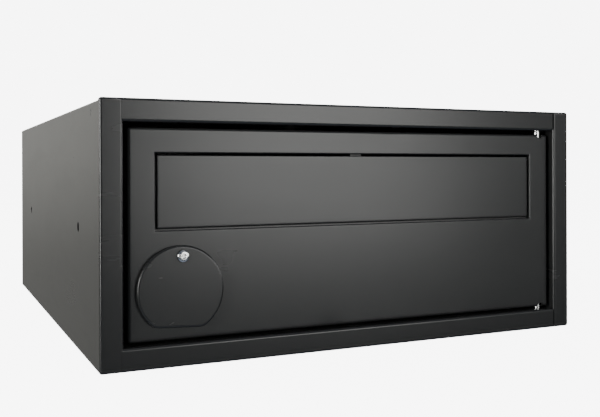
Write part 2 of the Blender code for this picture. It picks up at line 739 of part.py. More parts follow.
# ---- flap ---------------------------------------------------------------
def flap_panel(pivot):
    """Flap with a raised face in the slot and a flange behind the slot's rim."""
    centre = Vector((0, FLAP_FACE, (FLAP_BOTTOM + FLAP_TOP) / 2))
    bm = bmesh.new()
    bmesh.ops.create_grid(bm, x_segments=1, y_segments=1, size=0.5,
                          matrix=Matrix.Rotation(pi / 2, 4, "X"))
    bmesh.ops.scale(bm, vec=(2 * FLAP_HALF, 1, FLAP_TOP - FLAP_BOTTOM), verts=bm.verts)
    free = [e for e in bm.edges if not all(v.co.z > 0 for v in e.verts)]
    step = pull(bm, free, lambda _: (0, FLAP_STEP, 0))
    sides = [e for e in step if all(v.co.y > FLAP_STEP / 2 for v in e.verts)]

    def spread(point):
        outward = FLAP_FLANGE if point.x > 0 else -FLAP_FLANGE
        return (outward, 0, -FLAP_FLANGE if point.z < 0 else -2 * FLAP_FLANGE)

    pull(bm, sides, spread)
    face_out(bm, (0, -1, 0))
    flap = mesh_object("flap_panel", bm, centre)
    fold(flap, bend=0)
    soften(flap, 0.0005)
    return finish(flap, "black_powder_coat", pivot)


def flap_ears(pivot):
    """Hinge ears welded behind the flap, in two pairs along the rod."""
    thick = 0.002
    places = {"outer_left": -0.197, "inner_left": -0.010, "inner_right": 0.008, "outer_right": 0.197}
    for name, x in places.items():
        low = (x - thick / 2, FLAP_INNER + GAP, 0.171)
        high = (x + thick / 2, ROD_Y + 0.004, 0.1815)
        ear = block("flap_ear_" + name, low, high)
        bore(ear, name + "_bore", (x, ROD_Y, ROD_HEIGHT), ROD_RADIUS + GAP, 0.006, "X", 24)
        finish(ear, "black_powder_coat", pivot)


def flap_buffers(pivot):
    """Rubber pads on the flap's flange, which meet the back of the door."""
    front, back = ON_DOOR, FLAP_FLANGE_FRONT - GAP
    for name, x in (("flap_buffer_left", -0.2063), ("flap_buffer_right", 0.2063)):
        pad = block(name, (x - 0.002, front, 0.120), (x + 0.002, back, 0.134))
        finish(soften(pad, 0.0004, 1), "black_rubber", pivot)


def flap_spring(name, side, pivot):
    """Torsion spring round the rod: one leg behind the door, one on the flap."""
    wire, coil, turns, points_a_turn, pitch = 0.0005, 0.0034, 5, 12, 0.0014
    start_x = side * 0.190
    door_y, flap_y = ON_DOOR - ROD_Y, FLAP_INNER - ROD_Y
    route = [Vector((start_x, door_y + 0.0024, 0.016)), Vector((start_x, 0.0, 0.0062))]
    for step in range(turns * points_a_turn + points_a_turn // 4 + 1):
        angle = pi + 2 * pi * step / points_a_turn
        x = start_x - side * pitch * step / points_a_turn
        route.append(Vector((x, -coil * cos(angle), coil * sin(angle))))
    end_x = route[-1].x - side * 0.0004
    route.append(Vector((end_x, flap_y + 0.0012, -0.006)))
    route.append(Vector((end_x, flap_y + 0.0009, -0.018)))
    curve = bpy.data.curves.new(name, "CURVE")
    curve.dimensions = "3D"
    curve.bevel_depth = wire
    curve.bevel_resolution = 0
    curve.use_fill_caps = True
    spline = curve.splines.new("POLY")
    spline.points.add(len(route) - 1)
    for point, place in zip(spline.points, route):
        point.co = (*place, 1)
    obj = bpy.data.objects.new(name, curve)
    obj.location = (0, ROD_Y, ROD_HEIGHT)
    PARTS.objects.link(obj)
    return finish(obj, "zinc_steel", pivot)


# ---- assembly -----------------------------------------------------------
def build_casing():
    casing_wrap()
    base_tray()
    back_panel()
    frame_stile("frame_left_stile", -1)
    frame_stile("frame_right_stile", 1)
    frame_rail("frame_top_rail", True)
    frame_rail("frame_bottom_rail", False)
    keeper_angle()
    door_buffers()
    pin_plate("upper_pin_plate", HEIGHT - FRAME_FACE + SHEET + GAP)
    pin_plate("lower_pin_plate", FRAME_FACE - SHEET - GAP - 0.003)
    upper_hinge_pin()
    lower_hinge_pin()


def build_door(pivot):
    door_panel(pivot)
    hinge_stiffener(pivot)
    hinge_bushes(pivot)
    rod_bracket("rod_bracket_left", -1, pivot)
    rod_bracket("rod_bracket_right", 1, pivot)
    rod_bracket_centre(pivot)
    flap_rod(pivot)
    rod_clips(pivot)
    door_fasteners(pivot)
    cover_screw(pivot)
    cover_hardware(pivot)
    lock_body(pivot)
    lock_bracket(pivot)


def build_flap(pivot):
    flap_panel(pivot)
    flap_ears(pivot)
    flap_buffers(pivot)
    flap_spring("flap_spring_left", -1, pivot)
    flap_spring("flap_spring_right", 1, pivot)


def build():
    start()
    material("black_powder_coat", (0.030, 0.031, 0.031), 0.42, 0.0)
    material("bright_steel", (0.78, 0.78, 0.76), 0.16, 1.0)
    material("zinc_steel", (0.62, 0.63, 0.62), 0.34, 1.0)
    material("nickel", (0.70, 0.69, 0.66), 0.22, 1.0)
    material("black_nylon", (0.02, 0.02, 0.02), 0.5, 0.0)
    material("black_rubber", (0.015, 0.015, 0.015), 0.8, 0.0)
    door_axis = pivot_empty("door_hinge_axis", (HINGE_X, HINGE_Y, HEIGHT / 2))
    flap_axis = pivot_empty("flap_hinge_axis", (0, ROD_Y, ROD_HEIGHT))
    cover_axis = pivot_empty("lock_cover_axis", (PIVOT_X, FRONT, PIVOT_Z))
    plug_axis = pivot_empty("lock_plug_axis", (LOCK_X, DOOR_FACE, LOCK_Z))
    build_casing()
    build_door(door_axis)
    build_flap(flap_axis)
    lock_cover(cover_axis)
    lock_plug(plug_axis)
    lock_cam(plug_axis)
    cam_screw(plug_axis)


build()
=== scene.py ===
from math import atan2, cos, degrees, exp, pi, radians, sin, sqrt

import bmesh
import bpy
from mathutils import Matrix, Vector
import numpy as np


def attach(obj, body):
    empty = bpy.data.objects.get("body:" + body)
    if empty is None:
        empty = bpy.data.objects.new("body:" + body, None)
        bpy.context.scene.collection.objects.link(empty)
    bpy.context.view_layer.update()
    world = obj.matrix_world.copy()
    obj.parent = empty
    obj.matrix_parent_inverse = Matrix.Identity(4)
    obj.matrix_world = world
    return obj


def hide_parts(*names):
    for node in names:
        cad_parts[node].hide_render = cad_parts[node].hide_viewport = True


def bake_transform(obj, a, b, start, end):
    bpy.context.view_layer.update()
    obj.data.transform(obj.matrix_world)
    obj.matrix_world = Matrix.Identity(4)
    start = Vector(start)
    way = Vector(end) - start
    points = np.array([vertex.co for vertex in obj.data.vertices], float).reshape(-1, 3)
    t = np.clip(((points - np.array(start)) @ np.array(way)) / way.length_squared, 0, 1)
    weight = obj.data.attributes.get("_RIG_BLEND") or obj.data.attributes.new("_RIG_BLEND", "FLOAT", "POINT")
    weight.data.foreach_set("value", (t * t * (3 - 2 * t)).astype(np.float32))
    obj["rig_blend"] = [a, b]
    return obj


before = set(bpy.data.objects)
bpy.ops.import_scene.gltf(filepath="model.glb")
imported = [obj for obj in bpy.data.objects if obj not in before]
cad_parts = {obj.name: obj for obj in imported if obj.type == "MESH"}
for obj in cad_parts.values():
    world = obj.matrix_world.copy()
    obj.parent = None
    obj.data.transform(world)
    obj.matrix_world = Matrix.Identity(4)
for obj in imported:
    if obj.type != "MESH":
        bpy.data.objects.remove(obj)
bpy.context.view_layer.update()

scene = bpy.context.scene
mm = 0.001

# sizes that every sheet part shares
sheetMetal = {
    "thick": 1.5 * mm,
    "bend": 2.5 * mm,          # outside radius of a fold
    "bendSteps": 8,
    "sharpAngle": radians(38),
    "flatWeight": 90,          # how far large faces lead the shading of a fold
}


# shader wiring

class Wire:
    # a socket that can be used in an expression; each operator adds its Math node
    def __init__(self, recipe, socket):
        self.recipe = recipe
        self.socket = socket

    def math(self, operation, first, second=None):
        values = {0: first}
        if second is not None:
            values[1] = second
        return self.recipe.node("ShaderNodeMath", {"operation": operation}, values)

    def __add__(self, other):
        return self.math("ADD", self, other)

    def __sub__(self, other):
        return self.math("SUBTRACT", self, other)

    def __rsub__(self, other):
        return self.math("SUBTRACT", other, self)

    def __mul__(self, other):
        return self.math("MULTIPLY", self, other)

    __radd__ = __add__
    __rmul__ = __mul__

    def clamp(self):
        wire = self.math("ADD", self, 0.0)
        wire.socket.node.use_clamp = True
        return wire


class Wiring:
    # a node tree that starts empty; node() adds a node and wires its sockets
    def __init__(self, owner):
        owner.use_nodes = True
        self.tree = owner.node_tree
        self.tree.nodes.clear()

    def feed(self, socket, value):
        if isinstance(value, Wire):
            self.tree.links.new(value.socket, socket)
        else:
            socket.default_value = value

    def node(self, kind, settings=None, sockets=None, output=0):
        made = self.tree.nodes.new(kind)
        for setting, value in (settings or {}).items():
            if setting == "stops":
                stops = made.color_ramp.elements
                while len(stops) < len(value):
                    stops.new(0.5)
                for stop, (place, colour) in zip(stops, value):
                    stop.position, stop.color = place, colour
            else:
                setattr(made, setting, value)
        for socket, value in (sockets or {}).items():
            self.feed(made.inputs[socket], value)
        return None if output is None else Wire(self, made.outputs[output])

    def mix(self, factor, first, second):
        made = self.tree.nodes.new("ShaderNodeMix")
        made.data_type = "RGBA"
        sockets = [s for s in made.inputs if s.type == "RGBA"]
        self.feed(made.inputs[0], factor)
        for socket, value in zip(sockets, (first, second)):
            self.feed(socket, value)
        return Wire(self, [s for s in made.outputs if s.type == "RGBA"][0])


class Recipe(Wiring):
    def __init__(self, name, **constants):
        self.material = bpy.data.materials.new(name)
        super().__init__(self.material)
        self.surface = self.node("ShaderNodeBsdfPrincipled").socket.node
        self.node("ShaderNodeOutputMaterial", None, {"Surface": Wire(self, self.surface.outputs[0])},
                  output=None)
        for socket, value in constants.items():
            self.surface.inputs[socket.replace("_", " ")].default_value = value

    def place(self, stretch=(1, 1, 1)):
        where = self.node("ShaderNodeTexCoord", output="Object")
        if stretch == (1, 1, 1):
            return where
        return self.node("ShaderNodeVectorMath", {"operation": "MULTIPLY"}, {0: where, 1: stretch})

    def noise(self, where, size, detail=2.0, roughness=0.5):
        # size is the width of one lump in metres
        return self.node("ShaderNodeTexNoise", {"noise_dimensions": "3D"},
                         {"Vector": where, "Scale": 1 / size, "Detail": detail, "Roughness": roughness})

    def band(self, value, low, high):
        # 0 below low, 1 above high, smooth between
        return self.node("ShaderNodeMapRange", {"interpolation_type": "SMOOTHSTEP"},
                         {"Value": value, "From Min": low, "From Max": high})

    def bump(self, height, strength, depth):
        return self.node("ShaderNodeBump", None,
                         {"Height": height, "Strength": strength, "Distance": depth})

    def finish(self, **links):
        for socket, wire in links.items():
            self.feed(self.surface.inputs[socket.replace("_", " ")], wire)
        return self.material


# finishes

powderLook = {
    "dark": (0.0200, 0.0206, 0.0204, 1),
    "light": (0.0270, 0.0277, 0.0270, 1),
    "roughness": 0.28,
    "roughnessDrift": 0.03,
    "peel": 1.6 * mm,            # orange peel of the sprayed coat
    "grain": 0.35 * mm,
    "peelDepth": 0.040 * mm,
    "dust": 0.015,
    "dustEdges": (0.46, 0.72),   # where a smear starts and is full
    "driftSize": 90 * mm,
    "smearSize": 140 * mm,
    "smearStretch": (1, 1, 5),
    "bumpStrength": 0.5,
}


def powderCoat(name, shift=0.0, gloss=0.0):
    look = powderLook
    recipe = Recipe(name, Metallic=0.0, IOR=1.5)
    where = recipe.place()
    drift = recipe.noise(where, look["driftSize"], 3.0)
    speckle = recipe.noise(where, look["grain"], 1.0)
    peel = recipe.noise(where, look["peel"], 2.0)
    smear = recipe.noise(recipe.place(look["smearStretch"]), look["smearSize"], 4.0, 0.6)
    wiped = recipe.band(smear, *look["dustEdges"])
    tone = (drift * 0.6 + speckle * 0.4 + shift).clamp()
    colour = recipe.mix(tone, look["dark"], look["light"])
    rough = (look["roughness"] - gloss) + (drift - 0.5) * look["roughnessDrift"] + wiped * look["dust"]
    height = peel * 0.7 + speckle * 0.3
    return recipe.finish(Base_Color=colour, Roughness=rough,
                         Normal=recipe.bump(height, look["bumpStrength"], look["peelDepth"]))


metalLook = {
    "cloud": 6 * mm,
    "lines": 0.35 * mm,
    "darkest": 0.82,             # share of the colour in the dullest patches
    "cloudRoughness": 0.10,
    "lineRoughness": 0.08,
    "lineBump": 0.25,
    "lineDepth": 0.02 * mm,
}


def brightMetal(name, colour, roughness, relief=0.0, streak=(1, 1, 1)):
    look = metalLook
    recipe = Recipe(name, Metallic=1.0)
    where = recipe.place(streak)
    cloud = recipe.noise(recipe.place(), look["cloud"], 3.0)
    lines = recipe.noise(where, look["lines"], 3.0, 0.6)
    dark = tuple(c * look["darkest"] for c in colour[:3]) + (1,)
    tone = recipe.mix(cloud, dark, colour)
    rough = roughness + (cloud - 0.5) * look["cloudRoughness"] + (lines - 0.5) * look["lineRoughness"]
    return recipe.finish(Base_Color=tone, Roughness=rough.clamp(),
                         Normal=recipe.bump(lines, look["lineBump"] + relief, look["lineDepth"]))


zincLook = {
    "blue": (0.50, 0.52, 0.53, 1),
    "pale": (0.66, 0.66, 0.63, 1),
    "bloom": 9 * mm,
    "bloomEdges": (0.40, 0.66),
    "grain": 0.5 * mm,
    "grainDepth": 0.02 * mm,
    "roughness": 0.30,
    "bloomRoughness": 0.14,
}


def zincPlate(name):
    look = zincLook
    recipe = Recipe(name, Metallic=1.0)
    where = recipe.place()
    bloom = recipe.noise(where, look["bloom"], 4.0, 0.6)
    grain = recipe.noise(where, look["grain"], 2.0)
    patch = recipe.band(bloom, *look["bloomEdges"])
    colour = recipe.mix(patch, look["blue"], look["pale"])
    rough = look["roughness"] + patch * look["bloomRoughness"] + (grain - 0.5) * 0.1
    return recipe.finish(Base_Color=colour, Roughness=rough,
                         Normal=recipe.bump(grain, 0.3, look["grainDepth"]))


def darkPlastic(name, colour, roughness, grainSize, depth):
    recipe = Recipe(name, Metallic=0.0)
    where = recipe.place()
    grain = recipe.noise(where, grainSize, 3.0)
    cloud = recipe.noise(where, 12 * mm, 3.0)
    pale = tuple(min(1, c * 1.5) for c in colour[:3]) + (1,)
    tone = recipe.mix(cloud, colour, pale)
    rough = roughness + (grain - 0.5) * 0.12 + (cloud - 0.5) * 0.08
    return recipe.finish(Base_Color=tone, Roughness=rough, Normal=recipe.bump(grain, 0.4, depth))


finishes = {
    "casingCoat": powderCoat("casingPowderCoat", 0.02),
    "frameCoat": powderCoat("framePowderCoat", -0.05, 0.02),
    "doorCoat": powderCoat("doorPowderCoat", 0.0),
    "flapCoat": powderCoat("flapPowderCoat", 0.03),
    "coverCoat": powderCoat("coverPowderCoat", 0.0, 0.02),
    "bracketCoat": powderCoat("bracketPowderCoat", 0.05, -0.06),
    "zinc": zincPlate("zincPlatedSteel"),
    "spring": brightMetal("springSteel", (0.15, 0.15, 0.15, 1), 0.36),
    "bright": brightMetal("polishedSteel", (0.88, 0.88, 0.86, 1), 0.20),
    "nickel": brightMetal("nickelPlate", (0.70, 0.68, 0.62, 1), 0.22, 0.1, (1, 0.1, 1)),
    "nylon": darkPlastic("blackNylon", (0.020, 0.020, 0.021, 1), 0.48, 0.4 * mm, 0.02 * mm),
    "rubber": darkPlastic("blackRubber", (0.013, 0.013, 0.014, 1), 0.78, 0.6 * mm, 0.05 * mm),
}
print("finishes ready:", len(finishes))


# mesh helpers

def meshObject(name, bm):
    mesh = bpy.data.meshes.new(name)
    bm.to_mesh(mesh)
    bm.free()
    made = bpy.data.objects.new(name, mesh)
    scene.collection.objects.link(made)
    return made


def newMesh():
    # a mesh whose edges can be marked for rounding
    bm = bmesh.new()
    bm.edges.layers.float.new("bevel_weight_edge")
    return bm


def boxMesh(low, high):
    bm = newMesh()
    bmesh.ops.create_cube(bm, size=1.0)
    size = [b - a for a, b in zip(low, high)]
    middle = [(a + b) / 2 for a, b in zip(low, high)]
    bmesh.ops.scale(bm, vec=size, verts=bm.verts)
    bmesh.ops.translate(bm, vec=middle, verts=bm.verts)
    return bm


def outwards(bm, direction):
    bmesh.ops.recalc_face_normals(bm, faces=bm.faces)
    direction = Vector(direction)
    across = [f for f in bm.faces if abs(f.normal.dot(direction)) > 0.9]
    if max(across, key=lambda f: f.calc_area()).normal.dot(direction) < 0:
        bmesh.ops.reverse_faces(bm, faces=bm.faces)


def pull(bm, edges, move):
    made = bmesh.ops.extrude_edge_only(bm, edges=edges)["geom"]
    for corner in [g for g in made if isinstance(g, bmesh.types.BMVert)]:
        corner.co += Vector(move(corner.co))
    return [g for g in made if isinstance(g, bmesh.types.BMEdge) and g.is_boundary]


def openEdges(bm, test):
    return [e for e in bm.edges if e.is_boundary and all(test(v.co) for v in e.verts)]


def dropFaces(bm, *directions):
    gone = [f for f in bm.faces if any(f.normal.dot(Vector(d)) > 0.9 for d in directions)]
    bmesh.ops.delete(bm, geom=gone, context="FACES")


def weigh(bm, edges, share=1.0):
    weight = bm.edges.layers.float["bevel_weight_edge"]
    for edge in edges:
        edge[weight] = share


def fold(made, bend, steps):
    bevel = made.modifiers.new("folds", "BEVEL")
    bevel.width = bend
    bevel.segments = steps
    bevel.limit_method = "WEIGHT"
    bevel.use_clamp_overlap = False
    solid = made.modifiers.new("sheet", "SOLIDIFY")
    solid.thickness = sheetMetal["thick"]
    solid.offset = -1
    solid.solidify_mode = "NON_MANIFOLD"
    solid.nonmanifold_thickness_mode = "CONSTRAINTS"
    solid.nonmanifold_merge_threshold = 0.0000001


def applied(made):
    shape = made.evaluated_get(bpy.context.evaluated_depsgraph_get())
    mesh = bpy.data.meshes.new_from_object(shape)
    made.modifiers.clear()
    old, made.data = made.data, mesh
    bpy.data.meshes.remove(old)
    return made


def cutBy(made, *cutters):
    for cutter in cutters:
        boolean = made.modifiers.new("cut", "BOOLEAN")
        boolean.operation = "DIFFERENCE"
        boolean.solver = "EXACT"
        boolean.object = cutter
    bpy.context.view_layer.update()
    applied(made)
    for cutter in cutters:
        mesh = cutter.data
        bpy.data.objects.remove(cutter)
        bpy.data.meshes.remove(mesh)
    return made


axisTurn = {
    "X": Matrix.Rotation(pi / 2, 4, "Y"),
    "Y": Matrix.Rotation(-pi / 2, 4, "X"),
    "Z": Matrix.Identity(4),
}


def roundCutter(centre, radius, length, axis, sides=48):
    bm = bmesh.new()
    bmesh.ops.create_cone(bm, cap_ends=True, segments=sides, radius1=radius, radius2=radius,
                          depth=length, matrix=Matrix.Translation(centre) @ axisTurn[axis])
    return meshObject("cutter", bm)


def turned(name, profile, place, axis="Z", sides=64):
    # profile is (radius, height) points from one end to the other, closed on the axis
    bm = bmesh.new()
    rings = []
    for radius, height in profile:
        if radius < 1e-7:
            rings.append([bm.verts.new((0, 0, height))])
            continue
        turn = [2 * pi * n / sides for n in range(sides)]
        rings.append([bm.verts.new((radius * cos(a), radius * sin(a), height)) for a in turn])
    for low, high in zip(rings, rings[1:]):
        for n in range(sides):
            m = (n + 1) % sides
            around = [low[n % len(low)], low[m % len(low)], high[m % len(high)], high[n % len(high)]]
            corners = []
            for v in around:
                if v not in corners:
                    corners.append(v)
            if len(corners) > 2:
                bm.faces.new(corners)
    bmesh.ops.transform(bm, matrix=Matrix.Translation(place) @ axisTurn[axis], verts=bm.verts)
    bmesh.ops.recalc_face_normals(bm, faces=bm.faces)
    return meshObject(name, bm)


def settle(made, finish, body, slot, *nodes):
    # smooth the curved faces, keep the edges crisp, and put the piece on its body
    if made.modifiers:
        bpy.context.view_layer.update()
        applied(made)
    made.data.shade_smooth()
    made.data.set_sharp_from_angle(angle=sheetMetal["sharpAngle"])
    weighted = made.modifiers.new("flatFaces", "WEIGHTED_NORMAL")
    weighted.keep_sharp = True
    weighted.weight = sheetMetal["flatWeight"]
    made.data.materials.clear()
    made.data.materials.append(finishes[finish])
    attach(made, body)
    if nodes:
        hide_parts(*nodes)
    return made


def arc(centre, radius, start, end, steps):
    for step in range(steps + 1):
        angle = radians(start + (end - start) * step / steps)
        yield centre[0] + radius * cos(angle), centre[1] + radius * sin(angle)


def spread(low, high, most, *fixed):
    # places from low to high, no further apart than most, with the fixed ones among them
    marks = sorted({low, high, *fixed})
    places = []
    for a, b in zip(marks, marks[1:]):
        count = max(1, round((b - a) / most))
        places += [a + (b - a) * n / count for n in range(count)]
    return places + [high]


def panelGrid(xs, zs, y, hole=None):
    # upright grid of faces at depth y, facing the front, left open inside hole
    bm = newMesh()
    rows = [[bm.verts.new((x, y, z)) for x in xs] for z in zs]
    for r in range(len(zs) - 1):
        for c in range(len(xs) - 1):
            x, z = (xs[c] + xs[c + 1]) / 2, (zs[r] + zs[r + 1]) / 2
            if hole and hole[0] < x < hole[1] and hole[2] < z < hole[3]:
                continue
            bm.faces.new([rows[r][c], rows[r][c + 1], rows[r + 1][c + 1], rows[r + 1][c]])
    loose = [v for v in bm.verts if not v.link_faces]
    bmesh.ops.delete(bm, geom=loose, context="VERTS")
    return bm


dentLook = {"reach": 16, "edgePower": 6}


def dent(made, marks, waves, middle, reach):
    # small dents and the slow waves of real sheet, both skins moved together;
    # the waves die out at the panel's edges
    for vertex in made.data.vertices:
        x, z = vertex.co.x, vertex.co.z
        move = 0.0
        for mark in marks:
            away = ((x - mark["x"]) / mark["wide"]) ** 2 + ((z - mark["z"]) / mark["high"]) ** 2
            if away < dentLook["reach"]:
                move += mark["deep"] * exp(-away)
        fade = 1.0
        for value, centre, half in ((x, middle[0], reach[0]), (z, middle[1], reach[1])):
            fade *= max(0.0, 1 - abs((value - centre) / half) ** dentLook["edgePower"])
        for wave in waves:
            across = sin(x / wave["across"] + wave["start"])
            move += fade * wave["deep"] * across * cos(z / wave["up"] + wave["start"])
        vertex.co.y += move


# casing

casing = {
    "half": 248.75 * mm,
    "front": -293 * mm,
    "back": 300 * mm,
    "top": 228.75 * mm,
    "holeRadius": 4.7 * mm,
    "holeZ": 115.5 * mm,
    "holeY": (-190 * mm, 180 * mm),
    "nickY": -257 * mm,          # weld mark near the front of the left side
    "nickZ": 219.5 * mm,
    "nickSize": (0.45 * mm, 1.1 * mm, 3.6 * mm),
    "lipUnder": 0.3 * mm,        # the hole's rounded lip, inside and outside its wall
    "lipOver": 0.7 * mm,
    "lipDeep": 1.0 * mm,
}


def makeCasing():
    low = (-casing["half"], casing["front"], 0)
    high = (casing["half"], casing["back"], casing["top"])
    bm = boxMesh(low, high)
    dropFaces(bm, (0, -1, 0), (0, 1, 0), (0, 0, -1))
    outwards(bm, (0, 0, 1))
    weigh(bm, [e for e in bm.edges if not e.is_boundary])
    wrap = meshObject("casingWrap", bm)
    fold(wrap, sheetMetal["bend"], sheetMetal["bendSteps"])
    bpy.context.view_layer.update()
    applied(wrap)
    cutters = []
    for side in (-1, 1):
        for y in casing["holeY"]:
            place = (side * casing["half"], y, casing["holeZ"])
            cutters.append(roundCutter(place, casing["holeRadius"], 0.02, "X"))
            lip = bmesh.new()
            bmesh.ops.create_cone(
                lip, cap_ends=True, segments=48, radius1=casing["holeRadius"] - casing["lipUnder"],
                radius2=casing["holeRadius"] + casing["lipOver"], depth=casing["lipDeep"],
                matrix=Matrix.Translation(place) @ Matrix.Rotation(side * pi / 2, 4, "Y"),
            )
            cutters.append(meshObject("cutter", lip))
    nick = bmesh.new()
    bmesh.ops.create_uvsphere(nick, u_segments=24, v_segments=16, radius=1.0)
    bmesh.ops.scale(nick, vec=casing["nickSize"], verts=nick.verts)
    bmesh.ops.translate(nick, vec=(-casing["half"], casing["nickY"], casing["nickZ"]), verts=nick.verts)
    cutters.append(meshObject("cutter", nick))
    cutBy(wrap, *cutters)
    settle(wrap, "casingCoat", "casing", "casing_coat", "casing_wrap")


makeCasing()
print("casing ready")


# front frame

frontFrame = {
    "half": 250 * mm,
    "height": 230 * mm,
    "face": 20 * mm,
    "front": -300 * mm,
    "lip": 4.5 * mm,
    "depth": 30 * mm,
    "jogglesIn": 3.55 * mm,
    "jogglesUp": 2.3 * mm,
    "pinHole": 2.8 * mm,
    "pinX": 216 * mm,
    "pinY": -289 * mm,
    "railEnds": (-231.6 * mm, 229.0 * mm),   # welded tight on the left, open seam on the right
}


def makeStile(name, side, node):
    f = frontFrame
    inner, outer = f["half"] - f["face"], f["half"]
    xs = sorted((side * inner, side * outer))
    bm = boxMesh((xs[0], f["front"], 0), (xs[1], f["front"] + f["lip"], f["height"]))
    dropFaces(bm, (0, 1, 0))
    weigh(bm, [e for e in bm.edges if all(abs(v.co.y - f["front"]) < 1e-6 for v in e.verts)])
    weigh(bm, [e for e in bm.edges if all(abs(v.co.x) > f["half"] - 1e-6 for v in e.verts)
               and abs(e.verts[0].co.y - e.verts[1].co.y) > 1e-6])
    rear = f["front"] + f["lip"]

    def joggle(point):
        across = -side * f["jogglesIn"] if abs(point.x) > (inner + outer) / 2 else 0
        return (across, 0, -f["jogglesIn"] if point.z > f["height"] / 2 else f["jogglesUp"])

    step = pull(bm, openEdges(bm, lambda co: abs(co.y - rear) < 1e-6), joggle)
    pull(bm, step, lambda _: (0, f["depth"] - f["lip"], 0))
    bmesh.ops.dissolve_degenerate(bm, dist=1e-6, edges=bm.edges)
    outwards(bm, (0, -1, 0))
    stile = meshObject(name, bm)
    fold(stile, sheetMetal["bend"], sheetMetal["bendSteps"])
    return settle(stile, "frameCoat", "casing", "frame_coat", node)


def makeRail(name, upper, node):
    f = frontFrame
    left, right = f["railEnds"]
    low = f["height"] - f["face"] if upper else 0
    bm = boxMesh((left, f["front"], low), (right, f["front"] + f["lip"], low + f["face"]))
    dropFaces(bm, (0, 1, 0), (1, 0, 0), (-1, 0, 0))
    weigh(bm, [e for e in bm.edges
               if not e.is_boundary and all(abs(v.co.y - f["front"]) < 1e-6 for v in e.verts)])
    rear = f["front"] + f["lip"]

    def joggle(point):
        high = point.z > low + f["face"] / 2
        if upper:
            return (0, 0, -f["jogglesIn"] if high else 0)
        return (0, 0, 0 if high else f["jogglesUp"])

    step = pull(bm, openEdges(bm, lambda co: abs(co.y - rear) < 1e-6), joggle)
    pull(bm, step, lambda _: (0, f["depth"] - f["lip"], 0))
    bmesh.ops.dissolve_degenerate(bm, dist=1e-6, edges=bm.edges)
    outwards(bm, (0, -1, 0))
    rail = meshObject(name, bm)
    fold(rail, sheetMetal["bend"], sheetMetal["bendSteps"])
    bpy.context.view_layer.update()
    applied(rail)
    shelf = low if upper else low + f["face"]
    cutBy(rail, roundCutter((f["pinX"], f["pinY"], shelf), f["pinHole"], 0.01, "Z"))
    return settle(rail, "frameCoat", "casing", "frame_coat", node)


makeStile("frameLeftStile", -1, "frame_left_stile")
makeStile("frameRightStile", 1, "frame_right_stile")
makeRail("frameTopRail", True, "frame_top_rail")
makeRail("frameBottomRail", False, "frame_bottom_rail")
print("front frame ready")


# door

door = {
    "half": 225.6 * mm,
    "low": 22.8 * mm,
    "high": 205.5 * mm,
    "bend": 2.5 * mm,
    "face": -295 * mm,
    "flange": 15 * mm,
    "slotHalf": 202 * mm,
    "slotLow": 117 * mm,
    "slotHigh": 184 * mm,
    "rim": 4 * mm,
    "rimShare": 0.42,            # share of the bend on the slot's rim
    "cell": 6 * mm,
    "flatFrom": 1.5 * mm,        # flat margin kept beside each fold
    "bushHole": 4.4 * mm,
    "pinNotch": 3.7 * mm,        # half-round notches that clear the hinge pins' collars
    "lockHole": (-180 * mm, 60 * mm, 10.3 * mm),
    "pivotHole": (-179 * mm, 95.2 * mm, 3.3 * mm),
    # weld marks and handling dents that show in the coat
    "marks": [
        {"x": -1 * mm, "z": 195 * mm, "wide": 3.2 * mm, "high": 2.4 * mm, "deep": 0.30 * mm},
        {"x": 199 * mm, "z": 95 * mm, "wide": 4.0 * mm, "high": 4.0 * mm, "deep": 0.10 * mm},
        {"x": 32 * mm, "z": 204.5 * mm, "wide": 13 * mm, "high": 3.0 * mm, "deep": 0.35 * mm},
        {"x": -35 * mm, "z": 25 * mm, "wide": 9 * mm, "high": 3.0 * mm, "deep": 0.25 * mm},
    ],
    "waves": [
        {"across": 0.075, "up": 0.060, "start": 0.6, "deep": 0.10 * mm},
        {"across": 0.031, "up": 0.045, "start": 2.1, "deep": 0.03 * mm},
    ],
}


